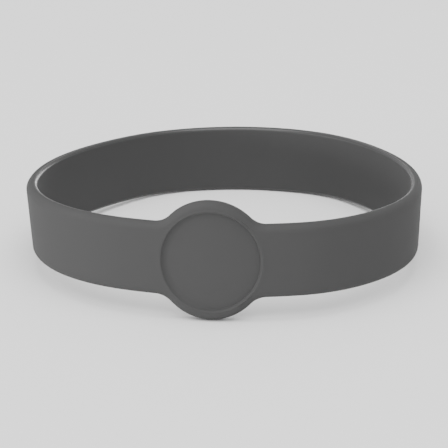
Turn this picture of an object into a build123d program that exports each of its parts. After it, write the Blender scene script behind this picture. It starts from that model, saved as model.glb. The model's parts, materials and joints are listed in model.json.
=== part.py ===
from math import asin, atan2, cos, degrees, hypot, isclose, radians, sin, tan
import os

from build123d import *

# Silicone wristband in one piece: a closed loop of flat strip standing on its edge, with a round head on
# the front and a shallow bare recess in the head's face. Millimetres. The head faces -Y, +Z is up, and the
# origin is on the surface that the wristband rests on, under the middle of its bounding box.

# Strip
band_height = 12.2         # edge to edge
wall = 2.0                 # thickness of the strip and of the head
shoulder_radius = 1.2      # rounding of the outer edges
inner_edge_radius = 0.35   # rounding of the edges next to the skin
flare = 2.3                # degrees that the wall leans out towards the top

# Loop, seen from above: radii of its outer face at half height. Each arc ends where the face has turned by
# so many degrees from the middle of the front, and the back arc closes the loop.
front_radius = 50.0        # the stiffer head keeps the front flatter than the rest
front_end = 17.0
corner_radius = 26.5
corner_end = 86.0
side_radius = 40.0
side_end = 131.0

# Head, a part of the same wall with an oval outline
head_width = 18.5
head_height = 20.0
neck_radius = 3.5          # concave rounding where the head flows into the strip

# Recess in the middle of the head's face
rim_beside = 1.3           # from the recess to the head's outline, left and right
rim_above = 1.75           # from the recess to the head's outline, above and below
recess_depth = 0.5
lip_radius = 0.25          # rounding of the recess's outer edge
floor_radius = 0.2         # rounding in the corner of its floor
recess_width = head_width - 2 * rim_beside
recess_height = head_height - 2 * rim_above

least_flat = 0.05          # left between two roundings that share a face
overrun = 3.0              # how far a cutting shape runs past what it cuts
steepest = 0.3             # share by which an upright face's normal may rise or fall
near = 0.001               # sizes this close are the same


def loop_arcs():
    """The arcs of one half of the loop, as (start angle, end angle, radius)."""
    front, corner, side = radians(front_end), radians(corner_end), radians(side_end)
    reach = front_radius * sin(front)
    reach += corner_radius * (sin(corner) - sin(front))
    reach += side_radius * (sin(side) - sin(corner))
    back_radius = reach / sin(side)
    return [
        (0, front_end, front_radius),
        (front_end, corner_end, corner_radius),
        (corner_end, side_end, side_radius),
        (side_end, 180, back_radius),
    ]


def placed_arcs():
    """The same arcs with the centre of each, where the middle of the front is at X 0, Y 0."""
    x, y = 0.0, 0.0
    placed = []
    for start, end, radius in loop_arcs():
        centre_x = x - radius * sin(radians(start))
        centre_y = y + radius * cos(radians(start))
        placed.append((start, end, radius, centre_x, centre_y))
        x = centre_x + radius * sin(radians(end))
        y = centre_y - radius * cos(radians(end))
    return placed


def loop_depth():
    """From the outer face at the front to the outer face at the back, at half height."""
    start, end, radius, centre_x, centre_y = placed_arcs()[-1]
    return centre_y + radius


def lip():
    """Radius of the recess's outer edge, as far as the recess is deep enough for it."""
    return min(lip_radius, recess_depth / 2)


def shoulder():
    """Radius of the outer edges, as far as the wall and the rim round the recess have room for it."""
    rim = (rim_beside + rim_above) / 2
    return min(shoulder_radius, wall - inner_edge_radius - least_flat, rim - lip() - least_flat)


def wall_section(radius, outside, inside):
    """Upright section of the wall, from outside the loop's outer face to inside it, leaning by the flare."""
    lean = tan(radians(flare)) * head_height / 2
    corners = [
        (radius - inside - lean, -head_height / 2),
        (radius + outside - lean, -head_height / 2),
        (radius + outside + lean, head_height / 2),
        (radius - inside + lean, head_height / 2),
    ]
    return Plane.XZ * make_face(Polyline(*corners, close=True))


def wall_arc(start, end, radius, centre_x, centre_y, outside, inside):
    """One arc of the sharp wall from one angle to another, turned about its own centre."""
    piece = revolve(wall_section(radius, outside, inside), Axis.Z, revolution_arc=end - start)
    return Pos(centre_x, centre_y, 0) * Rot(0, 0, start - 90) * piece


def front_wall(outside, inside):
    """The front arc of the sharp wall, from left to right in one piece."""
    start, end, radius, centre_x, centre_y = placed_arcs()[0]
    return wall_arc(-end, end, radius, centre_x, centre_y, outside, inside)


def loop_wall(outside, inside):
    """The whole loop as a sharp wall of the head's height."""
    pieces = []
    for start, end, radius, centre_x, centre_y in placed_arcs()[1:]:
        pieces.append(wall_arc(start, end, radius, centre_x, centre_y, outside, inside))
        pieces.append(wall_arc(-end, -start, radius, -centre_x, centre_y, outside, inside))
    return front_wall(outside, inside).fuse(*pieces).clean()


def oval_bar(width, height):
    """A bar of oval section along Y, from in front of the head to the middle of the loop."""
    oval = Plane.XZ * Ellipse(width / 2, height / 2)
    return Pos(0, -overrun, 0) * extrude(oval, amount=-overrun - loop_depth() / 2)


def slab(front, back):
    """A block as high as the strip and wider than the loop, from one Y to another."""
    width = 2 * (loop_depth() + overrun)
    return Pos(0, (front + back) / 2, 0) * Box(width, back - front, band_height)


def front_shape():
    """What the front half shows from in front: the strip, the head and the four necks."""
    shape = slab(-overrun, loop_depth() / 2) + oval_bar(head_width, head_height)
    inside = shape.edges().filter_by_position(Axis.X, -head_width / 2, head_width / 2)
    necks = [edge for edge in inside if isclose(abs(edge.center().Z), band_height / 2, abs_tol=near)]
    return fillet(necks, neck_radius)


def sharp_body():
    """Strip and head before their edges are rounded."""
    return loop_wall(0, wall) & (front_shape() + slab(loop_depth() / 2, loop_depth() + overrun))


def wall_faces(body, outer):
    """The upright faces that look away from the inside of the loop, or those that look into it."""
    middle = Vector(0, loop_depth() / 2, 0)
    chosen = []
    for face in body.faces():
        normal = face.normal_at()
        looks_out = normal.dot(face.center() - middle) > 0
        if abs(normal.Z) < steepest and looks_out == outer:
            chosen.append(face)
    return chosen


def rim_edges(faces):
    """The edges that belong to only one of these faces."""
    edges = [edge for face in faces for edge in face.edges()]
    return [edge for edge in edges if edges.count(edge) == 1]


def rounded_edges(body):
    """The body with its inner edges and its outer shoulders rounded."""
    body = fillet(rim_edges(wall_faces(body, outer=False)), inner_edge_radius)
    return fillet(rim_edges(wall_faces(body, outer=True)), shoulder())


def lies_on_recess(edge):
    """Whether an edge lies on the recess's oval, seen from in front."""
    points = [edge @ share for share in (0.2, 0.5, 0.8)]
    reaches = [hypot(2 * point.X / recess_width, 2 * point.Z / recess_height) for point in points]
    return all(isclose(reach, 1, abs_tol=near) for reach in reaches)


def recess_rings(body):
    """The edges that run round the side of the recess, from its lip inwards."""
    rings = [edge for edge in body.edges() if edge.length > recess_width and lies_on_recess(edge)]
    return sorted(rings, key=lambda ring: ring.center().Y)


def with_recess(body):
    """The body with the recess cut into its head, and its lip and the corner of its floor rounded."""
    body = body - (front_wall(overrun, recess_depth) & oval_bar(recess_width, recess_height))
    body = fillet(recess_rings(body)[-1], min(floor_radius, recess_depth - lip() - least_flat))
    return fillet(recess_rings(body)[0], lip())


def resting_lean():
    """Degrees that the loop tips back when it stands on its head and on the strip's edge at the back."""
    slope = tan(radians(flare))
    head_z = inner_edge_radius - head_height / 2
    head_y = wall - inner_edge_radius - slope * head_z
    back_z = shoulder() - band_height / 2
    back_y = loop_depth() - shoulder() + slope * back_z
    span = hypot(back_y - head_y, back_z - head_z)
    return degrees(atan2(back_z - head_z, back_y - head_y) - asin((shoulder() - inner_edge_radius) / span))


def at_rest(body):
    """The body tipped back as it rests, with the origin under the middle of its bounding box."""
    body = Rot(-resting_lean(), 0, 0) * body
    box = body.bounding_box()
    return Pos(-box.center().X, -box.center().Y, -box.min.Z) * body


os.makedirs("parts", exist_ok=True)
wristband = at_rest(with_recess(rounded_edges(sharp_body())))
wristband.label = "wristband"
export_step(wristband, "parts/wristband.step")
print(f"lean at rest {resting_lean():.2f} degrees, volume {wristband.volume / 1000:.3f} cm3")
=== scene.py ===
import json
import math
import bpy
from mathutils import Matrix, Vector


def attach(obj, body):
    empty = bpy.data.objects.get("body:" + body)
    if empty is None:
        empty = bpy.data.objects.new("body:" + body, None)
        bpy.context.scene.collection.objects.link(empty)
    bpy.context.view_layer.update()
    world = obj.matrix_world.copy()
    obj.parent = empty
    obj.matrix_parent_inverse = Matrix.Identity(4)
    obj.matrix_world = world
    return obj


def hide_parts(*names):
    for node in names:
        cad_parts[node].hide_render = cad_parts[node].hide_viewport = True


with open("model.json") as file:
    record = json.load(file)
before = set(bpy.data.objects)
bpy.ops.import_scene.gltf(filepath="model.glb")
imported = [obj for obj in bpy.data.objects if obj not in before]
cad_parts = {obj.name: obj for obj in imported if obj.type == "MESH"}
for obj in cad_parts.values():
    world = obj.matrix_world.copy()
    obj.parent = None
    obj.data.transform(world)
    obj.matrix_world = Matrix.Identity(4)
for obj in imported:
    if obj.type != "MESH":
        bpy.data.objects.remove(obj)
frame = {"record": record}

# Silicone wristband: one moulded loop with a round head, standing on a pale floor.
# The band's lengths are in millimetres and are turned to metres where they reach Blender.
mm = 0.001
quarterTurn = math.pi / 2
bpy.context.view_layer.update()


class Wire:
    # a socket that takes part in sums: each operator adds its Math node
    def __init__(self, tree, socket):
        self.tree = tree
        self.socket = socket

    def math(self, operation, *others):
        return self.tree.math(operation, self, *others)

    def __add__(self, other):
        return self.math("ADD", other)

    def __radd__(self, other):
        return self.tree.math("ADD", other, self)

    def __sub__(self, other):
        return self.math("SUBTRACT", other)

    def __rsub__(self, other):
        return self.tree.math("SUBTRACT", other, self)

    def __mul__(self, other):
        return self.math("MULTIPLY", other)

    def __rmul__(self, other):
        return self.tree.math("MULTIPLY", other, self)

    def __truediv__(self, other):
        return self.math("DIVIDE", other)

    def __rtruediv__(self, other):
        return self.tree.math("DIVIDE", other, self)

    def __pow__(self, other):
        return self.math("POWER", other)

    def __neg__(self):
        return self.math("MULTIPLY", -1.0)

    def __abs__(self):
        return self.math("ABSOLUTE")

    def sin(self):
        return self.math("SINE")

    def cos(self):
        return self.math("COSINE")

    def root(self):
        return self.math("SQRT")

    def sign(self):
        return self.math("SIGN")

    def above(self, other):
        return self.math("GREATER_THAN", other)

    def below(self, other):
        return self.math("LESS_THAN", other)

    def least(self, other):
        return self.math("MINIMUM", other)

    def most(self, other):
        return self.math("MAXIMUM", other)

    def clamped(self):
        return self.most(0.0).least(1.0)

    def smooth(self):
        # from 0 to 1 with a soft start and a soft end
        return self.clamped() ** 2.0 * (3.0 - 2.0 * self.clamped())

    def ramp(self, start, growth):
        # 0 up to the start, then growing softly to 1
        return ((self - start) * growth).smooth()


class Tree:
    # one node tree, for a material, the world or geometry
    def __init__(self, nodeTree):
        self.nodeTree = nodeTree

    def add(self, kind, settings=None, inputs=None, out=0):
        # adds a node and gives one of its outputs, where it has any
        node = self.nodeTree.nodes.new(kind)
        for name, value in (settings or {}).items():
            setattr(node, name, value)
        for key, value in (inputs or {}).items():
            self.feed(node.inputs[key], value)
        return Wire(self, node.outputs[out]) if len(node.outputs) else None

    def feed(self, socket, value):
        # a list of wires goes into a socket that takes several
        if isinstance(value, list):
            for one in value:
                self.feed(socket, one)
        elif isinstance(value, Wire):
            self.nodeTree.links.new(value.socket, socket)
        else:
            socket.default_value = value

    def outputs(self, wire):
        # all the outputs of the node that a wire comes from
        return [Wire(self, socket) for socket in wire.socket.node.outputs]

    def math(self, operation, *values):
        return self.add("ShaderNodeMath", {"operation": operation}, dict(enumerate(values)))

    def number(self, value):
        # a plain number as a wire
        return self.math("ADD", value, 0.0)

    def vector(self, x, y, z):
        return self.add("ShaderNodeCombineXYZ", None, {0: x, 1: y, 2: z})

    def parts(self, vector):
        return self.outputs(self.add("ShaderNodeSeparateXYZ", None, {0: vector}))

    def position(self):
        return self.parts(self.add("GeometryNodeInputPosition"))

    def placed(self, geometry, place):
        return self.add("GeometryNodeSetPosition", None, {"Geometry": geometry, "Position": place})

    def choose(self, condition, whenTrue, whenFalse):
        return self.add("GeometryNodeSwitch", {"input_type": "VECTOR"},
                        {0: condition, 1: whenFalse, 2: whenTrue})

    def mixed(self, amount, first, second):
        # from one colour to another: inputs 6 and 7 and output 2 are the Mix node's colours
        return self.add("ShaderNodeMix", {"data_type": "RGBA"}, {0: amount, 6: first, 7: second}, 2)


# The band. Its sizes are those of the CAD source, except that the edge next to the skin, the recess's
# place, lip and floor corner, and the swelling round it are closer to the photo.
band = {
    "lengths": {                    # millimetres
        "height": 12.2,
        "wall": 2.0,
        "shoulder": 1.2,            # rounding of the outer edges
        "innerEdge": 0.6,           # rounding next to the skin
        "frontRadius": 50.0,        # the loop's arcs, seen from above
        "cornerRadius": 26.5,
        "sideRadius": 40.0,
        "headWidth": 18.5,
        "headHeight": 20.0,
        "neck": 3.5,                # radius of the hollow where the head flows into the strip
        "recessWidth": 15.9,
        "recessHeight": 16.5,
        "recessDepth": 0.5,
        "recessAside": 0.25,        # the recess sits a little to the right of the head's middle
        "lip": 0.4,                 # rounding of the recess's edge
        "lipOut": 0.25,             # how far outside the recess's edge it starts
        "floorCorner": 0.1,         # rounding between the recess's side and its floor
        "lipLeft": 0.3,             # the recess's side is gentler on the left
        "floorCornerLeft": 1.6,
        "beadHeight": 0.05,         # the slight swelling of the face round the recess
        "beadWidth": 0.9,
        "headReach": 12.5,          # half the width of the stretch that is meshed with the head
        "weld": 0.002,              # points closer than this become one
        # how the soft loop settles as it stands, away from its moulded shape
        "leftOut": 0.25,            # how far the left end stands out
        "leftLean": 0.2,            # how much further at its top than at half height
        "footRight": 1.3,           # how far the foot of the back stands out on the right
        "footLeft": 0.6,            # the same on a shorter stretch on the left
        "backLeft": 1.7,            # how much rounder each corner of the loop is
        "backRight": 1.2,
        "frontRight": 0.7,
        "frontLeft": -0.3,
    },
    "angles": {                     # degrees
        "flare": 2.3,               # how far the wall leans out
        "frontEnd": 17.0,           # how far the face has turned where each arc ends
        "cornerEnd": 86.0,
        "sideEnd": 131.0,
        "shineFade": 30.0,          # the last part of the rounding next to the skin, where its shine ends
    },
    "shares": {
        "shineOnFlat": 0.5,         # how much of that shine is there where the rounding starts
        "shineGrowth": 1.5,         # how quickly it grows round the edge, for each radian
        "gentleGrowth": 1.3,        # how soon the recess's side turns gentle towards the left
        # how the loop settles, in shares of half its width or depth: a change starts at its From, or has
        # its middle at its At, and is whole after a stretch of 1 / its Growth
        "deeper": 0.034,            # the right side is deeper, front to back, and the left side shallower
        "leftFrom": 0.45,
        "leftGrowth": 2.0,
        "footRightFrom": 0.15,
        "footRightGrowth": 2.2,
        "footLeftAt": 0.45,
        "footLeftGrowth": 2.4,
        "footBackGrowth": 2.0,
        "roundFrom": 0.45,
        "roundGrowth": 2.0,
    },
    "steps": {                      # how finely each stretch of the surface is divided
        "headAlong": 124,
        "loopAlong": 500,
        "shoulder": 8,
        "flat": 2,
        "innerEdge": 6,
        "innerFace": 12,
        "faceAcross": 24,
        "faceRings": 14,
        "lip": 7,
        "floorCorner": 10,
        "floorRings": 14,
        "neckSearch": 60,           # how often the search for the neck's place halves its stretch
    },
}
lengths, angles, steps = band["lengths"], band["angles"], band["steps"]


def backRadius():
    # the back arc closes the loop
    ends = ("frontEnd", "cornerEnd", "sideEnd")
    front, corner, side = (math.sin(math.radians(angles[name])) for name in ends)
    reach = lengths["frontRadius"] * front + lengths["cornerRadius"] * (corner - front)
    return (reach + lengths["sideRadius"] * (side - corner)) / side


def sideReach():
    # from the middle of the loop to its side
    front, corner = (math.sin(math.radians(angles[name])) for name in ("frontEnd", "cornerEnd"))
    reach = lengths["frontRadius"] * front + lengths["cornerRadius"] * (corner - front)
    return reach + lengths["sideRadius"] * (1.0 - corner)


def loopDepth():
    # from the outer face at the front to the outer face at the back
    ends = [0.0, angles["frontEnd"], angles["cornerEnd"], angles["sideEnd"], 180.0]
    radii = [lengths["frontRadius"], lengths["cornerRadius"], lengths["sideRadius"], backRadius()]
    cosines = [math.cos(math.radians(end)) for end in ends]
    return sum(radius * (cosines[i] - cosines[i + 1]) for i, radius in enumerate(radii))


def neckPlace():
    # the neck's arc touches the strip's edge and the head's oval: where its middle is, and where it
    # touches the oval
    halfWidth, halfHeight = lengths["headWidth"] / 2, lengths["headHeight"] / 2
    low, high = 0.0, quarterTurn
    for _ in range(steps["neckSearch"]):
        half = (low + high) / 2
        x, z = halfWidth * math.sin(half), halfHeight * math.cos(half)
        outward = Vector((x / halfWidth ** 2, z / halfHeight ** 2)).normalized() * lengths["neck"]
        if z + outward.y > lengths["height"] / 2 + lengths["neck"]:
            low = half
        else:
            high = half
    return x + outward.x, x


def bandSizes():
    # what the band's tree takes, in metres, radians and shares
    neckMiddle, touch = neckPlace()
    sizes = {name: value * mm for name, value in lengths.items()}
    sizes.update({name: math.radians(value) for name, value in angles.items()})
    sizes.update(band["shares"])
    sizes["slope"] = math.tan(sizes.pop("flare"))
    sizes["backRadius"] = backRadius() * mm
    sizes["neckMiddle"] = neckMiddle * mm
    sizes["touch"] = touch * mm
    sizes["headTurn"] = math.asin(lengths["headReach"] / lengths["frontRadius"])
    sizes["middle"] = loopDepth() / 2 * mm
    sizes["halfWidth"] = sideReach() * mm
    return sizes


# Geometry nodes for the band
def newGeometryTree(name, sizes):
    # a tree with a named input for each size and one for the material
    group = bpy.data.node_groups.new(name, "GeometryNodeTree")
    group.interface.new_socket("Geometry", in_out="OUTPUT", socket_type="NodeSocketGeometry")
    for size in sizes:
        group.interface.new_socket(size, in_out="INPUT", socket_type="NodeSocketFloat")
    group.interface.new_socket("material", in_out="INPUT", socket_type="NodeSocketMaterial")
    tree = Tree(group)
    wires = tree.outputs(tree.add("NodeGroupInput"))
    return group, tree, {wire.socket.name: wire for wire in wires if wire.socket.name}


def share(position, start, count):
    # how much of one stretch of the steps is behind a position
    return ((position - start) / count).clamped()


def sharesOf(position, names):
    # the same for several stretches that follow each other
    starts = [sum(steps[name] for name in names[:index]) for index in range(len(names))]
    return [share(position, start, steps[name]) for start, name in zip(starts, names)]


def gridOf(tree, countU, countV):
    # a grid mesh of size 1 about the origin, and each point's place in it, counted in steps
    counts = {"Vertices X": countU + 1, "Vertices Y": countV + 1}
    grid = tree.add("GeometryNodeMeshGrid", None, {"Size X": 1.0, "Size Y": 1.0, **counts})
    x, y, z = tree.position()
    return grid, (x + 0.5) * countU, (y + 0.5) * countV


def outline(size, across):
    # half the height of the front view at a distance from the middle, and the outline's normal there
    far = abs(across)
    halfWidth, halfHeight = size["headWidth"] / 2.0, size["headHeight"] / 2.0
    ovalZ = halfHeight * (1.0 - (far.least(size["touch"]) / halfWidth) ** 2.0).root()
    ovalSlope = -(halfHeight * halfHeight * far / (halfWidth * halfWidth * ovalZ))
    inNeck = (far - size["neckMiddle"]).least(0.0).most(size["touch"] - size["neckMiddle"])
    neckDrop = (size["neck"] * size["neck"] - inNeck * inNeck).root()
    neckZ = size["height"] / 2.0 + size["neck"] - neckDrop
    onOval = far.below(size["touch"])
    height = onOval * ovalZ + (1.0 - onOval) * neckZ
    slope = onOval * ovalSlope + (1.0 - onOval) * (inNeck / neckDrop)
    length = (1.0 + slope * slope).root()
    return height, across.sign() * -slope / length, 1.0 / length


def onHead(tree, size, x, z, depth):
    # a point of the front view, at a depth behind the outer face, bent on to the front's cone
    lean = z * size["slope"] - depth
    slide = ((abs(x) - size["neckMiddle"]) / (size["headReach"] - size["neckMiddle"])).smooth()
    bentX = x * (1.0 + slide * lean / size["frontRadius"])
    reach = size["frontRadius"] + lean
    return tree.vector(bentX, size["frontRadius"] - (reach * reach - bentX * bentX).root(), z)


def loopTurn(size, along):
    # the angle from the front, as the loop goes from one side of the head round to the other
    return size["headTurn"] + (2.0 * math.pi - 2.0 * size["headTurn"]) * along


def onLoop(tree, size, turn, z, depth):
    # a point of the loop where its face has turned by an angle from the front
    half = turn.least(2.0 * math.pi - turn)
    side = (math.pi - turn).sign()
    x, y, start = 0.0, 0.0, tree.number(0.0)
    ends = (size["frontEnd"], size["cornerEnd"], size["sideEnd"], math.pi)
    for name, end in zip(("frontRadius", "cornerRadius", "sideRadius", "backRadius"), ends):
        held = half.most(start).least(end)
        x = size[name] * (held.sin() - start.sin()) + x
        y = size[name] * (start.cos() - held.cos()) + y
        start = end
    lean = z * size["slope"] - depth
    return tree.vector(side * (x + half.sin() * lean), y - half.cos() * lean, z)


def ribbon(tree, size):
    # the shoulders, the edges and the whole inner face, all round
    stretches = ("shoulder", "flat", "innerEdge", "innerFace")
    halfSteps = sum(steps[name] for name in stretches)
    grid, u, v = gridOf(tree, steps["headAlong"] + steps["loopAlong"], 2 * halfSteps)
    rounded, flat, tucked, toMiddle = sharesOf(halfSteps - abs(v - halfSteps), stretches)
    rounded, tucked = rounded * quarterTurn, tucked * quarterTurn
    inset = size["shoulder"] * (1.0 - rounded.sin()) + size["innerEdge"] * (1.0 - tucked.cos())
    straight = size["wall"] - size["innerEdge"] - size["shoulder"]
    depth = size["shoulder"] * (1.0 - rounded.cos()) + flat * straight + size["innerEdge"] * tucked.sin()
    rise = (halfSteps - v).sign() * (1.0 - toMiddle)
    across = size["headReach"] * (2.0 * share(u, 0, steps["headAlong"]) - 1.0)
    height, normalX, normalZ = outline(size, across)
    headX, headZ = across - normalX * inset * abs(rise), rise * (height - normalZ * inset)
    turn = loopTurn(size, share(u, steps["headAlong"], steps["loopAlong"]))
    loopPoint = onLoop(tree, size, turn, rise * (size["height"] / 2.0 - inset), depth)
    pastHead = u.above(steps["headAlong"] + 0.5)
    place = tree.choose(pastHead, loopPoint, onHead(tree, size, headX, headZ, depth))
    # 1 on the edge next to the skin, fading in over the flat before it and out before the inner face
    edge = (flat * size["shineOnFlat"] + tucked * size["shineGrowth"]).clamped()
    edge = edge * ((quarterTurn - tucked) / size["shineFade"]).clamped()
    marked = tree.add("GeometryNodeStoreNamedAttribute", {"data_type": "FLOAT", "domain": "POINT"},
                      {"Geometry": grid, "Name": "skinEdge", "Value": edge})
    return tree.placed(marked, place)


def loopFace(tree, size):
    # the outer face between the shoulders, from one side of the head round to the other
    grid, u, v = gridOf(tree, steps["loopAlong"], steps["faceAcross"])
    z = (size["height"] / 2.0 - size["shoulder"]) * (1.0 - v * (2.0 / steps["faceAcross"]))
    return tree.placed(grid, onLoop(tree, size, loopTurn(size, u / steps["loopAlong"]), z, 0.0))


def headFace(tree, size):
    # the head's face with the recess, in rings from the outline to the middle
    stretches = ("faceRings", "lip", "floorCorner", "floorRings")
    along, upright = steps["headAlong"], steps["faceAcross"]
    grid, u, v = gridOf(tree, 2 * (along + upright), sum(steps[name] for name in stretches))
    across = size["headReach"] * (-1.0 + 2.0 * share(u, 0, along) - 2.0 * share(u, along + upright, along))
    rise = 1.0 - 2.0 * share(u, along, upright) + 2.0 * share(u, 2 * along + upright, upright)
    height, normalX, normalZ = outline(size, across)
    outerX = across - normalX * size["shoulder"]
    outerZ = rise * (height - normalZ * size["shoulder"])
    halfWidth, halfHeight = size["recessWidth"] / 2.0, size["recessHeight"] / 2.0
    turn = tree.math("ARCTAN2", outerZ / halfHeight, (outerX - size["recessAside"]) / halfWidth)
    toLip, overLip, onCorner, toMiddle = sharesOf(v, stretches)
    offLip = (1.0 - toLip) * ((outerX * outerX + outerZ * outerZ).root() - halfWidth)
    bead = size["beadHeight"] * (1.0 - offLip / size["beadWidth"]).smooth() * toLip.smooth()
    # the side is two arcs: over the lip to the steepest place, and back to level on the floor
    gentle = (-turn.cos() * size["gentleGrowth"]).smooth()
    lip = size["lip"] + (size["lipLeft"] - size["lip"]) * gentle
    corner = size["floorCorner"] + (size["floorCornerLeft"] - size["floorCorner"]) * gentle
    steepest = tree.math("ARCCOSINE", 1.0 - size["recessDepth"] / (lip + corner))
    lipTurn, cornerTurn = overLip * steepest, (1.0 - onCorner) * steepest
    outward = size["lipOut"] - lip * lipTurn.sin() - corner * (steepest.sin() - cornerTurn.sin())
    depth = lip * (1.0 - lipTurn.cos()) + corner * (cornerTurn.cos() - steepest.cos())
    depth = depth - bead * (1.0 - overLip)
    # the ring is the recess's oval, moved along its normal and drawn together towards the middle
    normal = ((halfHeight * turn.cos()) ** 2.0 + (halfWidth * turn.sin()) ** 2.0).root()
    ringX = (halfWidth * turn.cos() + halfHeight * turn.cos() / normal * outward) * (1.0 - toMiddle)
    ringX = ringX + size["recessAside"]
    ringZ = (halfHeight * turn.sin() + halfWidth * turn.sin() / normal * outward) * (1.0 - toMiddle)
    x = outerX * (1.0 - toLip) + ringX * toLip
    z = outerZ * (1.0 - toLip) + ringZ * toLip
    return tree.placed(grid, onHead(tree, size, x, z, depth))


def settled(tree, size, shape):
    # across runs from -1 on the left to 1 on the right, behind from -1 in front to 1 at the back
    x, y, z = tree.position()
    across, behind = x / size["halfWidth"], (y - size["middle"]) / size["middle"]
    rise = z / (size["height"] / 2.0)
    atLeft = (-across).ramp(size["leftFrom"], size["leftGrowth"])
    leftOut = atLeft * (size["leftOut"] + size["leftLean"] * rise)
    footRight = size["footRight"] * across.ramp(size["footRightFrom"], size["footRightGrowth"])
    nearFoot = 1.0 - abs(across + size["footLeftAt"]) * size["footLeftGrowth"]
    foot = footRight + size["footLeft"] * nearFoot.smooth()
    footOut = foot * behind.ramp(0.0, size["footBackGrowth"]) * (1.0 - rise) / 2.0
    deeper = size["deeper"] * across * (y - size["middle"])
    onRight, onBack = across.above(0.0), behind.above(0.0)
    atBack = size["backLeft"] + (size["backRight"] - size["backLeft"]) * onRight
    atFront = size["frontLeft"] + (size["frontRight"] - size["frontLeft"]) * onRight
    rounder = abs(across).ramp(size["roundFrom"], size["roundGrowth"]) * behind
    rounder = rounder * (atFront + (atBack - atFront) * onBack)
    return tree.placed(shape, tree.vector(x - leftOut, y + deeper + footOut - rounder, z))


def bandTree(sizes):
    group, tree, size = newGeometryTree("bandShape", sizes)
    pieces = [ribbon(tree, size)]
    for face in (loopFace(tree, size), headFace(tree, size)):
        pieces.append(tree.add("GeometryNodeFlipFaces", None, {0: face}))
    joined = tree.add("GeometryNodeJoinGeometry", None, {0: pieces})
    welded = tree.add("GeometryNodeMergeByDistance", None, {0: joined, "Distance": size["weld"]})
    smooth = tree.add("GeometryNodeSetShadeSmooth", None, {0: settled(tree, size, welded)})
    real = tree.add("GeometryNodeRealizeInstances", None, {0: smooth})
    painted = tree.add("GeometryNodeSetMaterial", None, {0: real, "Material": size["material"]})
    tree.add("NodeGroupOutput", None, {0: painted})
    return group


def evaluatedMesh(group, values, name):
    # runs a geometry tree once and keeps the result as a plain mesh
    holder = bpy.data.objects.new(name + "Maker", bpy.data.meshes.new(name + "Maker"))
    bpy.context.scene.collection.objects.link(holder)
    modifier = holder.modifiers.new("shape", "NODES")
    modifier.node_group = group
    for item in group.interface.items_tree:
        if item.in_out == "INPUT":
            modifier[item.identifier] = values[item.name]
    shown = holder.evaluated_get(bpy.context.evaluated_depsgraph_get())
    mesh = bpy.data.meshes.new_from_object(shown)
    mesh.name = name
    holder.modifiers.remove(modifier)
    bpy.data.objects.remove(holder)
    return mesh


def loopMiddle():
    # the middle of the loop where it rests, leaning back as it does
    mount = next(mount for mount in frame["record"]["mounts"] if mount["name"] == "wrist_loop")
    lean = math.asin(mount["axis"][1])
    return Matrix.Translation(mount["pos_m"]) @ Matrix.Rotation(-lean, 4, "X")


def makeBand(material):
    sizes = bandSizes()
    group = bandTree(list(sizes))
    mesh = evaluatedMesh(group, {**sizes, "material": material}, "band")
    mesh.transform(loopMiddle() @ Matrix.Translation((0, -sizes["middle"], 0)))
    piece = bpy.data.objects.new("band", mesh)
    bpy.context.scene.collection.objects.link(piece)
    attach(piece, "root")
    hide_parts("wristband")
    print("band made,", len(mesh.vertices), "points,", len(mesh.polygons), "faces")


def shaderTree(owner):
    # the emptied node tree of a material or the world
    owner.use_nodes = True
    owner.node_tree.nodes.clear()
    return Tree(owner.node_tree)


# Silicone: matt and finely grained, with a slight shine on the edge next to the skin
silicone = {
    "dark": (0.042, 0.042, 0.042, 1.0),
    "light": (0.048, 0.048, 0.048, 1.0),
    "toneScale": 60.0,              # per metre, as the grain's
    "toneDetail": 4.0,
    "rough": 0.85,
    "roughVaries": 0.08,
    "edgeRough": 0.22,
    "grainScale": 5200.0,
    "grainDetail": 3.0,
    "grainHeight": 0.000012,        # metres
    "ior": 1.42,
}


def siliconeMaterial():
    material = bpy.data.materials.new("silicone")
    tree = shaderTree(material)
    place = tree.add("ShaderNodeTexCoord", out="Object")
    tone = tree.add("ShaderNodeTexNoise", None, {"Vector": place, "Scale": silicone["toneScale"],
                                                 "Detail": silicone["toneDetail"]})
    grain = tree.add("ShaderNodeTexNoise", None, {"Vector": place, "Scale": silicone["grainScale"],
                                                  "Detail": silicone["grainDetail"]})
    bump = tree.add("ShaderNodeBump", None, {"Distance": silicone["grainHeight"], "Height": grain})
    edge = tree.add("ShaderNodeAttribute", {"attribute_name": "skinEdge"}, out="Fac")
    rough = silicone["rough"] + silicone["roughVaries"] * (tone - 0.5)
    rough = rough - (silicone["rough"] - silicone["edgeRough"]) * edge
    color = tree.mixed(tone, silicone["dark"], silicone["light"])
    surface = tree.add("ShaderNodeBsdfPrincipled", None, {"Base Color": color, "Roughness": rough,
                                                          "Normal": bump, "IOR": silicone["ior"]})
    tree.add("ShaderNodeOutputMaterial", None, {"Surface": surface})
    return material


# Studio, in metres and watts
studio = {
    "floorSize": 6.0,
    "floorLight": (0.93, 0.93, 0.93, 1.0),
    "floorDark": (0.916, 0.916, 0.916, 1.0),
    "floorScale": 9.0,
    "floorRough": 0.7,
    "worldTone": (1.0, 1.0, 1.0, 1.0),
    "worldFront": 1.14,             # the room is lighter on the camera's side than behind the band
    "worldBehind": 0.8,
    "behindGrowth": 0.8,            # how quickly it changes from one to the other
    "worldRight": 0.84,             # and a little darker on the right
    "rightGrowth": 0.5,
    "lights": [
        {"name": "key", "at": (-2.2, -1.2, 0.18), "wide": 1.5, "high": 0.33, "power": 42.0},
        {"name": "top", "at": (0.0, -0.4, 1.45), "wide": 1.6, "high": 1.6, "power": 30.0},
        {"name": "back", "at": (0.7, 2.2, 0.22), "wide": 1.65, "high": 0.37, "power": 9.5},
    ],
}


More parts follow.
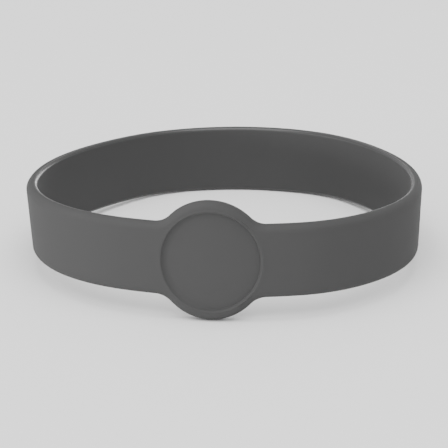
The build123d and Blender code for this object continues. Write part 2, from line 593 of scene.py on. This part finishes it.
def floorMaterial():
    material = bpy.data.materials.new("paleFloor")
    tree = shaderTree(material)
    place = tree.add("ShaderNodeTexCoord", out="Object")
    tone = tree.add("ShaderNodeTexNoise", None, {"Vector": place, "Scale": studio["floorScale"]})
    color = tree.mixed(tone, studio["floorLight"], studio["floorDark"])
    surface = tree.add("ShaderNodeBsdfPrincipled", None,
                       {"Base Color": color, "Roughness": studio["floorRough"]})
    tree.add("ShaderNodeOutputMaterial", None, {"Surface": surface})
    return material


def makeFloor():
    half = studio["floorSize"] / 2
    corners = [(-half, -half, 0), (half, -half, 0), (half, half, 0), (-half, half, 0)]
    mesh = bpy.data.meshes.new("floor")
    mesh.from_pydata(corners, [], [(0, 1, 2, 3)])
    mesh.materials.append(floorMaterial())
    floor = bpy.data.objects.new("floor", mesh)
    bpy.context.scene.collection.objects.link(floor)
    print("floor made")


def makeWorld():
    world = bpy.data.worlds.new("studio")
    tree = shaderTree(world)
    x, y, z = tree.parts(tree.add("ShaderNodeTexCoord", out="Generated"))
    behind = (0.5 + studio["behindGrowth"] * y).smooth()
    onRight = (0.5 + studio["rightGrowth"] * x).smooth()
    strength = studio["worldFront"] + (studio["worldBehind"] - studio["worldFront"]) * behind
    strength = strength * (1.0 - (1.0 - studio["worldRight"]) * onRight)
    sky = tree.add("ShaderNodeBackground", None, {"Color": studio["worldTone"], "Strength": strength})
    tree.add("ShaderNodeOutputWorld", None, {"Surface": sky})
    bpy.context.scene.world = world


def makeLights():
    for item in studio["lights"]:
        lamp = bpy.data.lights.new(item["name"], "AREA")
        lamp.energy = item["power"]
        lamp.shape = "RECTANGLE"
        lamp.size = item["wide"]
        lamp.size_y = item["high"]
        light = bpy.data.objects.new(item["name"], lamp)
        light.location = item["at"]
        light.rotation_euler = (-Vector(item["at"])).to_track_quat("-Z", "Y").to_euler()
        light.visible_camera = False
        bpy.context.scene.collection.objects.link(light)
    makeWorld()
    print("lights made")


# Camera, as the photo's perspective was solved, about the middle of the loop and in its own frame
view = {
    "azimuth": 5.136,               # degrees, as the next two
    "elevation": 16.389,
    "roll": -0.338,
    "distance": 310.36,             # millimetres
    "pixelsAtOne": 1775.6,          # pixels across for each unit of tangent
    "middleX": 227.65,              # the pixel where the loop's middle lies
    "middleY": 204.25,
    "frameSize": 448.0,             # the photo's width and height in pixels
    "near": 0.01,                   # what the camera sees, from and to, in metres
    "far": 20.0,
}


def makeCamera():
    azimuth, elevation, roll = (math.radians(view[name]) for name in ("azimuth", "elevation", "roll"))
    level = math.cos(elevation)
    outward = Vector((math.sin(azimuth) * level, -math.cos(azimuth) * level, math.sin(elevation)))
    right = Vector((math.cos(azimuth), math.sin(azimuth), 0.0))
    up = outward.cross(right)
    right, up = right * math.cos(roll) + up * math.sin(roll), up * math.cos(roll) - right * math.sin(roll)
    # turned until the loop's middle lies on its pixel
    half = view["frameSize"] / 2
    aside, above = right * (half - view["middleX"]), up * (half - view["middleY"])
    ahead = (-outward * view["pixelsAtOne"] + aside - above).normalized()
    right = (right - ahead * right.dot(ahead)).normalized()
    turn = Matrix((right, right.cross(ahead), -ahead)).transposed().to_4x4()
    place = loopMiddle() @ Matrix.Translation(outward * view["distance"] * mm) @ turn
    data = bpy.data.cameras.new("camera")
    data.lens = view["pixelsAtOne"] / view["frameSize"] * data.sensor_width
    data.clip_start, data.clip_end = view["near"], view["far"]
    camera = bpy.data.objects.new("camera", data)
    camera.matrix_world = place
    bpy.context.scene.collection.objects.link(camera)
    bpy.context.scene.camera = camera
    print("camera made at", [round(v, 4) for v in place.translation])


makeCamera()
makeFloor()
makeLights()
makeBand(siliconeMaterial())
